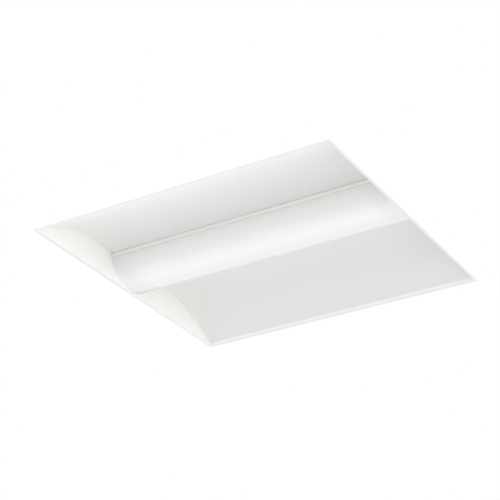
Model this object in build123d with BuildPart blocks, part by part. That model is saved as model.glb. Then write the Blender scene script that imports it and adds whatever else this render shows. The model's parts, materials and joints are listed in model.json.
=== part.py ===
from build123d import *
from math import cos, radians, sin, sqrt, tan
import os

# Recessed troffer light for a 2 ft by 2 ft lay-in ceiling grid, in millimetres.
# The origin is the centre of the face that rests on the grid. +X runs along the lens,
# +Y across it towards the lens hinge, and +Z up into the ceiling void.

# Housing
face_side = 603.0             # outer side of the square face
body_height = 82.6            # grid face to the top of the roof
sheet = 0.8                   # painted steel sheet
rim_width = 4.0               # folded rim that rests on the grid
clip_shelf_height = 40.0      # top of the shelf, just over a 38 mm grid bar
clip_shelf_width = 27.0
roof_pitch = 45.0             # degrees, from the clip shelf up to the roof
end_flange_width = 14.0       # flange of an end plate under the roof
end_flange_margin = 8.0       # from the flange's ends to the edge of the roof
seam = 0.3                    # gap where the edges of two sheets meet

# Side reflectors
reflector_foot = 2.6          # foot that lies on the rim
riser_height = 6.22           # rim's plane to the top of the riser, beside the end of the slope
arch_radius = 290.0           # of the room side
slope_angle = 23.5            # degrees, of the straight outer part
lens_opening_half = 68.6      # centre line to the inner fold of a reflector
reflector_top_lip = 11.4      # lip under the LED tray
reflector_screw_pitch = 220.0

# LED tray
tray_rise = 5.0               # highest line of the arch to the underside of the tray
tray_half_width = 92.0
tray_foot_width = 12.0
tray_screw_pitch = 200.0

# LED boards and their plug-in connectors
board_end_margin = 26.7       # end plate to the end of a board
board_width = 22.0
board_thickness = 1.6
board_offset = 28.0           # centre line to the middle of a board
inner_led_count = 6           # LEDs between a board's middle and its inner screws, each way
led_length = 3.5
led_width = 2.8
led_height = 0.8
led_pitch = 15.0
connector_length = 10.0
connector_width = 12.0
connector_height = 5.0
connector_corner = 1.0
connector_margin = 70.0       # end of a board to the middle of its connector
window_clearance = 1.0        # round a connector in its window

# Lens: an opal tube in two rails, joined by end brackets
lens_drop = 5.0               # underside of the tray to the centre of the half ellipse
lens_half_width = 66.0
lens_recess = 3.0             # rim's plane to the lowest line of the lens
lens_wall = 2.0
lens_end_gap = 0.5            # to each end plate
tang_height = 6.0             # straight edge of the lens inside the rail's groove
rail_reach = 11.0             # centre of the half ellipse to the rail's lower edge
rail_leg = 1.6
rail_cap = 1.8                # solid top of the rail over the groove
groove_overlap = 2.0          # curved part of the lens that the rail covers
groove_clearance = 0.1
fin_height = 4.5              # fin on the rail's top, gripped by the catch springs
fin_thickness = 0.8
fin_margin = 3.0              # from a bracket to the fin's end
bracket_width = 10.0
bracket_thickness = 1.2
bracket_fold = 3.0
bracket_inset = 2.5           # rail end to the bracket's edge
lens_screw_radius = 1.0
lens_screw_head_radius = 2.0
lens_screw_head_height = 1.4
hinge_pin_rise = 3.8          # rail's lower edge to the pin
hinge_pin_grip = 10.0         # length inside the rail
hinge_pin_reach = 2.0         # past the outside of the end plate
pin_fit = 0.05                # radial running clearance
pin_notch_clearance = 0.4

# Catch springs under the tray
catch_place = 150.0           # along the tray, each way
catch_length = 15.0
catch_steel = 0.5
catch_grip = 0.3              # from the fin to each leg
catch_leg = 5.0
catch_tab = 13.0

# Driver
driver_length = 280.0
driver_width = 30.0
driver_height = 20.0          # of the case under its base plate
driver_offset = 140.0         # centre line of the fitting to the driver's middle
driver_clearance = 1.0        # back of the reflector to the driver's case
driver_access_gap = 4.0       # access opening to the driver's ear
driver_shell = 0.7
base_plate = 1.0
driver_ear = 14.0
terminal_length = 8.0
terminal_width = 24.0
terminal_height = 14.0
terminal_corner = 1.0
terminal_pitch = 7.2           # between the three supply leads
circuit_thickness = 1.6
circuit_depth = 4.0           # circuit board below the base plate
circuit_clearance = 0.1
transformer_size = 16.0
transformer_height = 12.0
transformer_place = 30.0
transformer_corner = 1.5
capacitor_radius = 5.0
capacitor_height = 11.0
capacitor_place = 80.0
capacitor_edge = 1.0

# Wiring access in the roof
access_length = 100.0
access_end_margin = 34.7      # end plate to the opening
access_tray_margin = 6.0      # foot of the LED tray to the opening
access_roof_margin = 41.9     # opening to the edge of the roof
access_corner = 4.0
cover_overlap = 5.0
cover_thickness = 1.0
cover_gap = 0.3               # cover to roof
tongue_width = 20.0
tongue_depth = 7.0
tongue_gap = 0.8
finger_tab_height = 6.0
finger_tab_width = 26.0
hinge_axis_rise = 3.2         # over the roof
barrel_radius = 2.8
hinge_wire_radius = 1.5
hinge_length = 70.0
middle_barrel_length = 24.0
barrel_gap = 0.3
leaf_reach = 14.0
leaf_rivet_reach = 8.4        # from the hinge axis
leaf_rivet_spread = 22.0      # from the hinge's middle, each way
wire_overhang = 1.0           # of the hinge wire past its barrels, at each end
knockout_radius = 11.1        # 7/8 in. trade hole for a 1/2 in. fitting
knockout_slit = 0.6
knockout_bridge = 3.0
knockout_roof_margin = 19.9   # edge of the roof to the middles of both knockouts
open_knockout_shift = 12.0    # along the fitting, from the middle of the access opening
closed_knockout_shift = 54.0

# Suspension holes in the roof
hanger_hole_radius = 3.2
hanger_end_margin = 41.7      # end plate to the holes
hanger_roof_margin = 16.9     # edge of the roof to the holes

# Grid clips
clip_end_margin = 61.5        # end of the housing to a clip's rivet
clip_width = 12.0
clip_reach = 30.0
clip_thickness = 1.2
clip_tab_height = 7.0
clip_gap = 0.3                # over the shelf and under the rivet's head
rivet_radius = 2.0
rivet_head_radius = 4.0
rivet_head_height = 1.4
small_rivet_head_height = 1.0

# Fasteners
screw_radius = 1.75
screw_head_radius = 3.5
screw_head_height = 2.0
small_screw_radius = 1.5
small_head_radius = 2.8
small_head_height = 1.6
screw_point = 1.2             # past the last sheet
hole_clearance = 0.1
drive_width = 0.9
drive_reach = 1.2             # length of the cross slots, over the head's radius
screw_rounding = 0.5          # of a screw head's edge, over its height
rivet_rounding = 0.6          # the same of a rivet's head
end_screw_spread = 60.0       # of the inner screws of an end flange, each way
end_screw_roof_margin = 26.9  # edge of the roof to the outer screws
oversize = 3                  # how far cutters reach past what they cut

# Wiring inside the housing
supply_lead_radius = 1.1
output_lead_radius = 1.5
bend_share = 0.45             # of the shorter run beside a corner, taken up by its bend
splice_length = 18.0
splice_width = 12.0
splice_height = 9.0
splice_corner = 2.0
splice_distance = 42.0        # driver's terminal to the splices
splice_drop = 3.0             # below the terminal's middle
live_splice_offset = -9.0     # from the driver's centre line
neutral_splice_offset = 5.0
supply_bends = (14.0, 29.0)   # from the terminal to the two bends of a supply lead
ground_straight = 12.0
ground_bends = ((24.0, 24.0, 2.0), (46.0, 42.0, 5.0))  # out, across and up from the terminal
ground_tail = ((13.0, -7.0), (3.6, -1.0))  # the lead's last two points, from the ground screw
ground_shift = -13.0          # along the fitting, from the middle of the access opening
ground_roof_margin = 28.9     # edge of the roof to the ground screw
ground_head_radius = 2.4
lug_radius = 4.6
lug_thickness = 0.8
grommet_rim = 1.2
grommet_length = 24.0
grommet_height = 10.0
grommet_distance = 27.5       # driver's output terminal to the grommet's middle
grommet_rise = 8.0            # underside of the tray to the grommet's middle
core_shift = 4.0              # of each lead's hole from the grommet's middle
lead_lift = 1.2               # of a lead over the tray
output_offset = 6.0           # of each output lead from the driver's centre line
far_straight = 20.0           # run out of the driver's terminal
far_run_in = 14.0             # driver's centre line to where the lead faces the grommet
far_run_out = 12.0            # past the grommet
far_loop = (14.0, 34.0, 2.0)  # from the grommet, the board's middle and the lead's height
far_entry = 16.0              # straight run into the connector
near_straight = 12.0
near_run_in = 24.0
near_run_out = 14.0
near_loop = ((-1.0, 40.0, 1.0), (-2.0, 8.0, 0.0))  # grommet, centre line, lead's height
near_turn = (-14.0, -5.0)     # from the connector along X, and from the centre line
near_entry = 12.0

# Worked out from the sizes above
half = face_side / 2
inner_half = half - rim_width                 # outer face of end plates and risers
end_inside = inner_half - sheet               # room side of an end plate
roof_under = body_height - sheet
shelf_edge = half - clip_shelf_width
roof_edge = shelf_edge - (body_height - clip_shelf_height) / tan(radians(roof_pitch))
driver_top = roof_under - base_plate
terminal_z = driver_top - driver_height / 2
reflector_half_length = end_inside - seam
# The arch passes just under the driver, and its slope meets the riser at the end plate's line
arch_peak_height = driver_top - driver_height - driver_clearance - sheet
slope_fall = arch_peak_height + arch_radius * (1 / cos(radians(slope_angle)) - 1) - riser_height
arch_peak_offset = end_inside - slope_fall / tan(radians(slope_angle))
tray_height = arch_peak_height + tray_rise
tray_foot_edge = tray_half_width + tray_foot_width
board_length = 2 * (end_inside - board_end_margin)
led_count = 2 * round(board_length / led_pitch / 2)
board_screw_places = (inner_led_count * led_pitch, (led_count / 2 - 1) * led_pitch)
connector_place = board_length / 2 - connector_margin
lens_centre_height = tray_height - lens_drop
lens_depth = lens_centre_height - lens_recess
lens_half_length = end_inside - lens_end_gap
rail_bottom = lens_centre_height - rail_reach
hinge_pin_height = rail_bottom + hinge_pin_rise
tang_bottom = rail_bottom + groove_overlap
tang_top = tang_bottom + tang_height
tang_outside = lens_half_width * sqrt(1 - ((lens_centre_height - tang_bottom) / lens_depth) ** 2)
groove_outside = tang_outside + groove_clearance
groove_inside = tang_outside - lens_wall - groove_clearance
groove_middle = (groove_outside + groove_inside) / 2
rail_outside = groove_outside + rail_leg
rail_inside = groove_inside - rail_leg
rail_top = tang_top + rail_cap
hinge_pin_radius = (groove_outside - groove_inside) / 2 - pin_fit
rivet_offset = half - clip_shelf_width / 2
access_near = tray_foot_edge + access_tray_margin
access_far = roof_edge - access_roof_margin
access_width = access_far - access_near
access_middle_x = access_end_margin + access_length / 2 - end_inside
access_middle_y = (access_near + access_far) / 2
driver_middle = access_middle_x + access_length / 2 + driver_access_gap + driver_ear + driver_length / 2
input_x = driver_middle - driver_length / 2 - terminal_length
output_x = driver_middle + driver_length / 2 + terminal_length
grommet_x = output_x + grommet_distance
grommet_z = tray_height + grommet_rise
large_size = (screw_radius, screw_head_radius, screw_head_height)
small_size = (small_screw_radius, small_head_radius, small_head_height)
ground_size = (small_screw_radius, ground_head_radius, small_head_height)
lens_screw_size = (lens_screw_radius, lens_screw_head_radius, lens_screw_head_height)
large_hole = screw_radius + hole_clearance
small_hole = small_screw_radius + hole_clearance
both = (-1, 1)

os.makedirs("parts", exist_ok=True)
pieces = {}


def fold_outline(path, thickness):
    """Closed outline of a sheet folded along a path, with its thickness on the path's left."""
    points = [Vector(*point) for point in path]
    headings = [(b - a).normalized() for a, b in zip(points, points[1:])]
    other_side = []
    for index, point in enumerate(points):
        before = headings[max(index - 1, 0)]
        after = headings[min(index, len(headings) - 1)]
        normals = Vector(-before.Y - after.Y, before.X + after.X)
        other_side.append(point + normals * (thickness / (1 + before.dot(after))))
    return points + other_side[::-1]


def screws(places, seat, reach, direction=1, size=large_size):
    """Cross-head screws seated at a height, with their heads up (1) or down (-1)."""
    radius, head_radius, head_height = size
    head_side = Align.MIN if direction > 0 else Align.MAX
    shank_side = Align.MAX if direction > 0 else Align.MIN
    with BuildPart() as group:
        with Locations(*[(x, y, seat) for x, y in places]):
            Cylinder(radius, reach, align=(Align.CENTER, Align.CENTER, shank_side))
            Cylinder(head_radius, head_height, align=(Align.CENTER, Align.CENTER, head_side))
        rims = group.edges().filter_by(GeomType.CIRCLE).group_by(Axis.Z)[-1 if direction > 0 else 0]
        fillet(rims, head_height * screw_rounding)
        with Locations(*[(x, y, seat + direction * head_height) for x, y in places]):
            Box(drive_reach * head_radius, drive_width, head_height, mode=Mode.SUBTRACT)
            Box(drive_width, drive_reach * head_radius, head_height, mode=Mode.SUBTRACT)
    return group


def lead(points, radius):
    """Round insulated lead along straight runs, each corner as round as its runs allow."""
    corners = [Vector(*point) for point in points]
    runs = [b - a for a, b in zip(corners, corners[1:])]
    bends = []
    for before, after in zip(runs, runs[1:]):
        half_turn = radians(before.get_angle(after)) / 2
        bends.append(bend_share * min(before.length, after.length) / tan(half_turn))
    print("bend radii", [round(bend, 1) for bend in bends])
    with BuildPart() as wire:
        with BuildLine() as path:
            FilletPolyline(*points, radius=bends)
        with BuildSketch(Plane(origin=path.line @ 0, z_dir=path.line % 0)):
            Circle(radius)
        sweep()
    return wire


# ---- Places of fasteners, shared by the pieces that they join
tray_screw_offset = tray_half_width + tray_foot_width / 2
tray_screw_places = [
    (x, side * tray_screw_offset) for x in (-tray_screw_pitch, 0, tray_screw_pitch) for side in both
]
end_screw_x = end_inside - end_flange_width / 2
end_screw_offsets = (end_screw_spread, roof_edge - end_screw_roof_margin)
end_screw_places = [
    (side * end_screw_x, way * offset) for side in both for way in both for offset in end_screw_offsets
]
driver_screw_x = driver_length / 2 + driver_ear / 2
driver_screw_places = [(driver_middle + side * driver_screw_x, driver_offset) for side in both]
reflector_screw_offset = lens_opening_half + (reflector_top_lip + sheet) / 2
reflector_screw_places = [
    (x, side * reflector_screw_offset)
    for x in (-reflector_screw_pitch, 0, reflector_screw_pitch)
    for side in both
]
led_board_screws = [(sx * x, sy * board_offset) for x in board_screw_places for sx in both for sy in both]
connector_places = [(connector_place, side * board_offset) for side in both]
fin_offset = groove_middle + fin_thickness / 2
catch_rivet_offset = fin_offset - catch_grip - catch_tab / 2
catch_rivet_places = [(side * catch_place, -catch_rivet_offset) for side in both]
ground_place = (access_middle_x + ground_shift, roof_edge - ground_roof_margin)
knockout_offset = roof_edge - knockout_roof_margin
open_knockout = (access_middle_x + open_knockout_shift, knockout_offset)
closed_knockout = (access_middle_x + closed_knockout_shift, knockout_offset)
hanger_places = [
    (sx * (end_inside - hanger_end_margin), sy * (roof_edge - hanger_roof_margin))
    for sx in both
    for sy in both
]
cover_back = access_middle_x - access_length / 2 - cover_overlap
hinge_x = cover_back - barrel_radius
leaf_rivet_places = [
    (hinge_x - leaf_rivet_reach, access_middle_y + side * leaf_rivet_spread) for side in both
]
clip_places = [(sx * (half - clip_end_margin), sy * rivet_offset) for sx in both for sy in both]

# ---- Back pan: rims, side walls, clip shelves, pitched sides and roof in one folded sheet
pan_section = [
    (-inner_half, 0),
    (-half, 0),
    (-half, clip_shelf_height),
    (-shelf_edge, clip_shelf_height),
    (-roof_edge, body_height),
    (roof_edge, body_height),
    (shelf_edge, clip_shelf_height),
    (half, clip_shelf_height),
    (half, 0),
    (inner_half, 0),
]

with BuildPart() as back_pan:
    with BuildSketch(Plane.YZ.offset(-half)):
        with BuildLine():
            Polyline(*fold_outline(pan_section, -sheet), close=True)
        make_face()
    extrude(amount=face_side)
    with BuildSketch(Plane.XY.offset(body_height)):
        with Locations((access_middle_x, access_middle_y)):
            RectangleRounded(access_length, access_width, access_corner)
        with Locations(*hanger_places):
            Circle(hanger_hole_radius)
        with Locations(open_knockout):
            Circle(knockout_radius)
        with Locations(*tray_screw_places, *end_screw_places):
            Circle(large_hole)
        with Locations(*driver_screw_places, ground_place, *leaf_rivet_places):
            Circle(small_hole)
    extrude(amount=-2 * sheet, mode=Mode.SUBTRACT)
    # The second knockout is still closed: a slit round its disc, with two bridges
    with BuildSketch(Plane.XY.offset(body_height)):
        with Locations(closed_knockout):
            Circle(knockout_radius)
            Circle(knockout_radius - knockout_slit, mode=Mode.SUBTRACT)
            Rectangle(oversize * knockout_radius, knockout_bridge, mode=Mode.SUBTRACT)
    extrude(amount=-2 * sheet, mode=Mode.SUBTRACT)
    with BuildSketch(Plane.XY.offset(clip_shelf_height)):
        with Locations(*clip_places):
            Circle(rivet_radius + hole_clearance)
    extrude(amount=-2 * sheet, mode=Mode.SUBTRACT)
pieces["back_pan"] = back_pan


# ---- End plates: upright wall, rim folded outwards and flange folded in under the roof
def end_plate(side):
    """One end plate; side is -1 for the low X end and 1 for the other."""
    edge = half - sheet - seam
    wall_top = clip_shelf_height - sheet - seam
    lean = (sheet + seam) / sin(radians(roof_pitch))
    right_half = [
        (inner_half, 0),
        (inner_half, sheet + seam),
        (edge, sheet + seam),
        (edge, wall_top),
        (shelf_edge - lean + sheet + seam, wall_top),
        (roof_edge - lean, roof_under),
    ]
    with BuildPart() as plate:
        with BuildSketch(Plane.YZ.offset(side * end_inside)):
            with BuildLine():
                Polyline(*right_half, *[(-y, z) for y, z in right_half[::-1]], close=True)
            make_face()
        extrude(amount=side * sheet)
        with BuildSketch(Plane.XY):
            with Locations((side * (inner_half + rim_width / 2), 0)):
                Rectangle(rim_width, 2 * inner_half)
        extrude(amount=sheet)
        with BuildSketch(Plane.XY.offset(roof_under)):
            with Locations((side * end_screw_x, 0)):
                Rectangle(end_flange_width, 2 * (roof_edge - end_flange_margin))
            with Locations(*[place for place in end_screw_places if place[0] * side > 0]):
                Circle(large_hole, mode=Mode.SUBTRACT)
        extrude(amount=-sheet)
        with BuildSketch(Plane.YZ.offset(side * end_inside)):
            with Locations((groove_middle, hinge_pin_height)):
                Circle(hinge_pin_radius + pin_fit)
        extrude(amount=side * sheet, mode=Mode.SUBTRACT)
    return plate


pieces["end_plate_left"] = end_plate(-1)
pieces["end_plate_right"] = end_plate(1)

# ---- Side reflectors: foot on the rim, short riser, straight slope, arch, fold and top lip
arch_centre_z = arch_peak_height - arch_radius
outer_radius = arch_radius + sheet


def arch_height(offset, radius):
    """Height of a circle about the arch's centre, at an offset from the centre line."""
    return arch_centre_z + sqrt(radius ** 2 - (offset - arch_peak_offset) ** 2)


def arch_point(radius, angle):
    """Point of a circle about the arch's centre, at an angle outwards from its peak."""
    return (arch_peak_offset + radius * sin(radians(angle)), arch_centre_z + radius * cos(radians(angle)))


fold_outside = lens_opening_half + sheet
lip_end = lens_opening_half + reflector_top_lip
fold_foot = (lens_opening_half, arch_height(lens_opening_half, arch_radius))
fold_foot_outer = (fold_outside, arch_height(fold_outside, outer_radius))
slope_start = arch_point(arch_radius, slope_angle)
slope_start_outer = arch_point(outer_radius, slope_angle)
fall = tan(radians(slope_angle))
riser_top = slope_start[1] - (end_inside - slope_start[0]) * fall
riser_top_outer = slope_start_outer[1] - (inner_half - slope_start_outer[0]) * fall

with BuildPart() as reflector_far:
    with BuildSketch(Plane.YZ.offset(-reflector_half_length)):
        with BuildLine():
            Polyline(
                fold_foot,
                (lens_opening_half, tray_height),
                (lip_end, tray_height),
                (lip_end, tray_height - sheet),
                (fold_outside, tray_height - sheet),
                fold_foot_outer,
            )
            ThreePointArc(fold_foot_outer, arch_point(outer_radius, slope_angle / 2), slope_start_outer)
            Polyline(
                slope_start_outer,
                (inner_half, riser_top_outer),
                (inner_half, 2 * sheet),
                (end_inside + reflector_foot, 2 * sheet),
                (end_inside + reflector_foot, sheet),
                (end_inside, sheet),
                (end_inside, riser_top),
                slope_start,
            )
            ThreePointArc(slope_start, arch_point(arch_radius, slope_angle / 2), fold_foot)
        make_face()
    extrude(amount=2 * reflector_half_length)
    with BuildSketch(Plane.XY.offset(tray_height)):
        with Locations(*[place for place in reflector_screw_places if place[1] > 0]):
            Circle(small_hole)
    extrude(amount=-sheet, mode=Mode.SUBTRACT)
pieces["reflector_far"] = reflector_far

with BuildPart() as reflector_near:
    mirror(reflector_far.part, about=Plane.XZ)
pieces["reflector_near"] = reflector_near

# ---- LED tray: a hat channel hung from the roof, over the lens
tray_section = [
    (-tray_foot_edge, roof_under - sheet),
    (-tray_half_width, roof_under - sheet),
    (-tray_half_width, tray_height),
    (tray_half_width, tray_height),
    (tray_half_width, roof_under - sheet),
    (tray_foot_edge, roof_under - sheet),
]
grommet_face = Plane(origin=(grommet_x, tray_half_width, grommet_z), x_dir=(1, 0, 0), z_dir=(0, -1, 0))
cutback = end_inside - end_flange_width - seam      # feet and walls stop short of the end flanges

with BuildPart() as led_tray:
    with BuildSketch(Plane.YZ.offset(-reflector_half_length)):
        with BuildLine():
            Polyline(*fold_outline(tray_section, sheet), close=True)
        make_face()
    extrude(amount=2 * reflector_half_length)
    for side in both:
        with BuildSketch(Plane.XY.offset(tray_height + sheet)):
            with Locations((side * (cutback + half) / 2, 0)):
                Rectangle(half - cutback, 2 * tray_foot_edge)
        extrude(amount=body_height - tray_height, mode=Mode.SUBTRACT)
    with BuildSketch(Plane.XY.offset(tray_height)):
        with Locations(*connector_places):
            Rectangle(connector_length + 2 * window_clearance, connector_width + 2 * window_clearance)
        with Locations(*led_board_screws, *reflector_screw_places, *catch_rivet_places):
            Circle(small_hole)
    extrude(amount=sheet, mode=Mode.SUBTRACT)
    with BuildSketch(Plane.XY.offset(roof_under)):
        with Locations(*tray_screw_places):
            Circle(large_hole)
    extrude(amount=-sheet, mode=Mode.SUBTRACT)
    with BuildSketch(grommet_face):
        SlotOverall(grommet_length, grommet_height)
    extrude(amount=sheet, mode=Mode.SUBTRACT)
pieces["led_tray"] = led_tray

# ---- LED boards, LEDs and their plug-in connectors
for name, side in (("near", -1), ("far", 1)):
    with BuildPart() as board:
        with BuildSketch(Plane.XY.offset(tray_height)):
            with Locations((0, side * board_offset)):
                Rectangle(board_length, board_width)
            with Locations(*[place for place in led_board_screws if place[1] * side > 0]):
                Circle(small_hole, mode=Mode.SUBTRACT)
        extrude(amount=-board_thickness)
    pieces[f"led_board_{name}"] = board
    with BuildPart() as leds:
        with BuildSketch(Plane.XY.offset(tray_height - board_thickness)):
            with Locations((0, side * board_offset)):
                with GridLocations(led_pitch, led_pitch, led_count, 1):
                    Rectangle(led_length, led_width)
        extrude(amount=-led_height)
    pieces[f"leds_{name}"] = leds

with BuildPart() as board_connectors:
    with BuildSketch(Plane.XY.offset(tray_height)):
        with Locations(*connector_places):
            RectangleRounded(connector_length, connector_width, connector_corner)
    extrude(amount=connector_height)
pieces["board_connectors"] = board_connectors

# ---- Lens: half-elliptical opal tube with straight tangs in the rails' grooves
notch_bottom = hinge_pin_height - hinge_pin_radius - pin_notch_clearance
notch_length = hinge_pin_grip + pin_notch_clearance

with BuildPart() as lens_diffuser:
    with BuildSketch(Plane.YZ.offset(-lens_half_length)):
        with Locations((0, lens_centre_height)):
            Ellipse(lens_half_width, lens_depth)
            Ellipse(lens_half_width - lens_wall, lens_depth - lens_wall, mode=Mode.SUBTRACT)
        with Locations((0, tang_bottom)):
            Rectangle(
                oversize * lens_half_width,
                oversize * lens_depth,
                align=(Align.CENTER, Align.MIN),
                mode=Mode.SUBTRACT,
            )
        with Locations(*[(side * (tang_outside - lens_wall / 2), tang_bottom) for side in both]):
            Rectangle(lens_wall, tang_height, align=(Align.CENTER, Align.MIN))
    extrude(amount=2 * lens_half_length)
    # The far tang leaves room in the groove for the hinge pins
    with Locations(*[(side * lens_half_length, groove_middle, notch_bottom) for side in both]):
        Box(
            2 * notch_length,
            2 * lens_wall,
            2 * tang_height,
            align=(Align.CENTER, Align.CENTER, Align.MIN),
            mode=Mode.SUBTRACT,
        )
pieces["lens_diffuser"] = lens_diffuser

# ---- Lens rails: one extrusion on each edge, with a groove below and a fin on top
bracket_x = lens_half_length - bracket_inset - bracket_width / 2
bracket_screw_places = [(sx * bracket_x, sy * groove_middle) for sx in both for sy in both]
fin_half_length = bracket_x - bracket_width / 2 - fin_margin

with BuildPart() as lens_rail_far:
    with BuildSketch(Plane.YZ.offset(-lens_half_length)):
        with BuildLine():
            Polyline(
                (rail_inside, tang_bottom + groove_clearance),
                (groove_inside, tang_bottom + groove_clearance),
                (groove_inside, tang_top),
                (groove_outside, tang_top),
                (groove_outside, rail_bottom),
                (rail_outside, rail_bottom),
                (rail_outside, rail_top),
                (rail_inside, rail_top),
                close=True,
            )
        make_face()
    extrude(amount=2 * lens_half_length)
    with BuildSketch(Plane.XY.offset(rail_top)):
        with Locations((0, fin_offset)):
            Rectangle(2 * fin_half_length, fin_thickness)
    extrude(amount=fin_height)
    with BuildSketch(Plane.XY.offset(rail_top)):
        with Locations(*[place for place in bracket_screw_places if place[1] > 0]):
            Circle(lens_screw_radius + hole_clearance)
    extrude(amount=-rail_cap, mode=Mode.SUBTRACT)
pieces["lens_rail_far"] = lens_rail_far

with BuildPart() as lens_rail_near:
    mirror(lens_rail_far.part, about=Plane.XZ)
pieces["lens_rail_near"] = lens_rail_near

# ---- End brackets: folded strips that hold the two rails apart
for name, side in (("left", -1), ("right", 1)):
    with BuildPart() as bracket:
        with BuildSketch(Plane.XY.offset(rail_top)):
            with Locations((side * bracket_x, 0)):
                Rectangle(bracket_width, 2 * (rail_outside - rail_leg / 2))
            with Locations(*[place for place in bracket_screw_places if place[0] * side > 0]):
                Circle(lens_screw_radius + hole_clearance, mode=Mode.SUBTRACT)
        extrude(amount=bracket_thickness)
        with BuildSketch(Plane.XY.offset(rail_top)):
            with Locations((side * (bracket_x - (bracket_width - bracket_thickness) / 2), 0)):
                Rectangle(bracket_thickness, 2 * (rail_inside - seam))
        extrude(amount=-bracket_fold)
    pieces[f"lens_bracket_{name}"] = bracket

pieces["lens_screws"] = screws(
    bracket_screw_places,
    rail_top + bracket_thickness,
    bracket_thickness + rail_cap,
    size=lens_screw_size,
)

# ---- Lens hinge pins: held in the far rail's groove, turning in the end plates
pin_end = inner_half + hinge_pin_reach
pin_start = lens_half_length - hinge_pin_grip

with BuildPart() as lens_hinge_pins:
    with Locations(*[(side * (pin_start + pin_end) / 2, groove_middle, hinge_pin_height) for side in both]):
        Cylinder(hinge_pin_radius, pin_end - pin_start, rotation=(0, 90, 0))
pieces["lens_hinge_pins"] = lens_hinge_pins

# ---- Catch springs: forks riveted under the tray, with a leg on each side of the near rail's fin
fork_outer = fin_offset + fin_thickness / 2 + catch_grip
fork_inner = fin_offset - fin_thickness / 2 - catch_grip
fork_path = [
    (catch_tab - fork_inner, tray_height),
    (-fork_outer - catch_steel, tray_height),
    (-fork_outer - catch_steel, tray_height - catch_leg),
]

with BuildPart() as lens_catch_springs:
    for side in both:
        with BuildSketch(Plane.YZ.offset(side * catch_place - catch_length / 2)):
            with BuildLine():
                Polyline(*fold_outline(fork_path, catch_steel), close=True)
            make_face()
            with Locations((-fork_inner, tray_height)):
                Rectangle(catch_steel, catch_leg, align=(Align.MIN, Align.MAX))
        extrude(amount=catch_length)
    with BuildSketch(Plane.XY.offset(tray_height)):
        with Locations(*catch_rivet_places):
            Circle(small_hole)
    extrude(amount=-catch_steel, mode=Mode.SUBTRACT)
pieces["lens_catch_springs"] = lens_catch_springs


# ---- Rivets: a formed head at each end of a plain shank
def rivets(places, top, bottom, radius, head_radius, head_height):
    """Rivets whose heads lie over the top height and under the bottom height."""
    with BuildPart() as group:
        with Locations(*[(x, y, bottom) for x, y in places]):
            Cylinder(radius, top - bottom, align=(Align.CENTER, Align.CENTER, Align.MIN))
            Cylinder(head_radius, head_height, align=(Align.CENTER, Align.CENTER, Align.MAX))
        with Locations(*[(x, y, top) for x, y in places]):
            Cylinder(head_radius, head_height, align=(Align.CENTER, Align.CENTER, Align.MIN))
        circles = group.edges().filter_by(GeomType.CIRCLE).group_by(Axis.Z)
        fillet(circles[-1] + circles[0], head_height * rivet_rounding)
    return group


pieces["catch_rivets"] = rivets(
    catch_rivet_places,
    tray_height + sheet,
    tray_height - catch_steel,
    small_screw_radius,
    small_head_radius,
    small_rivet_head_height,
)

# ---- Screws of the housing
pieces["reflector_screws"] = screws(
    reflector_screw_places, tray_height + sheet, 2 * sheet + screw_point, size=small_size
)
pieces["led_board_screws"] = screws(
    led_board_screws, tray_height - board_thickness, board_thickness + sheet + screw_point, -1, small_size
)
pieces["tray_screws"] = screws(tray_screw_places, body_height, 2 * sheet + screw_point)
pieces["end_plate_screws"] = screws(end_screw_places, body_height, 2 * sheet + screw_point)
pieces["driver_screws"] = screws(driver_screw_places, driver_top, base_plate + sheet, -1, small_size)

# ---- Driver: base plate with ears, case, circuit board with its main parts, terminals
with BuildPart() as driver_base:
    with BuildSketch(Plane.XY.offset(roof_under)):
        with Locations((driver_middle, driver_offset)):
            Rectangle(driver_length + 2 * driver_ear, driver_width)
        with Locations(*driver_screw_places):
            Circle(small_hole, mode=Mode.SUBTRACT)
    extrude(amount=-base_plate)
pieces["driver_base"] = driver_base

with BuildPart() as driver_case:
    with BuildSketch(Plane.XY.offset(driver_top)):
        with Locations((driver_middle, driver_offset)):
            Rectangle(driver_length, driver_width)
    extrude(amount=-driver_height)
    with BuildSketch(Plane.XY.offset(driver_top)):
        with Locations((driver_middle, driver_offset)):
            Rectangle(driver_length - 2 * driver_shell, driver_width - 2 * driver_shell)
    extrude(amount=driver_shell - driver_height, mode=Mode.SUBTRACT)
pieces["driver_case"] = driver_case

circuit_top = driver_top - circuit_depth
circuit_under = circuit_top - circuit_thickness
case_inside = driver_shell + circuit_clearance

with BuildPart() as driver_circuit_board:
    with BuildSketch(Plane.XY.offset(circuit_top)):
        with Locations((driver_middle, driver_offset)):
            Rectangle(driver_length - 2 * case_inside, driver_width - 2 * case_inside)
    extrude(amount=-circuit_thickness)
pieces["driver_circuit_board"] = driver_circuit_board

with BuildPart() as driver_transformer:
    with Locations((driver_middle + transformer_place, driver_offset, circuit_under)):
        Box(
            transformer_size,
            transformer_size,
            transformer_height,
            align=(Align.CENTER, Align.CENTER, Align.MAX),
        )
    fillet(driver_transformer.edges().filter_by(Axis.Z), transformer_corner)
pieces["driver_transformer"] = driver_transformer

capacitor_places = [(driver_middle + side * capacitor_place, driver_offset, circuit_under) for side in both]
with BuildPart() as driver_capacitors:
    with Locations(*capacitor_places):
        Cylinder(capacitor_radius, capacitor_height, align=(Align.CENTER, Align.CENTER, Align.MAX))
    fillet(driver_capacitors.edges().group_by(Axis.Z)[0], capacitor_edge)
pieces["driver_capacitors"] = driver_capacitors

terminal_x = driver_length / 2 + terminal_length / 2
with BuildPart() as driver_terminals:
    with Locations(*[(driver_middle + side * terminal_x, driver_offset, terminal_z) for side in both]):
        Box(terminal_length, terminal_width, terminal_height)
    fillet(driver_terminals.edges().filter_by(Axis.Z), terminal_corner)
pieces["driver_terminals"] = driver_terminals

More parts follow.
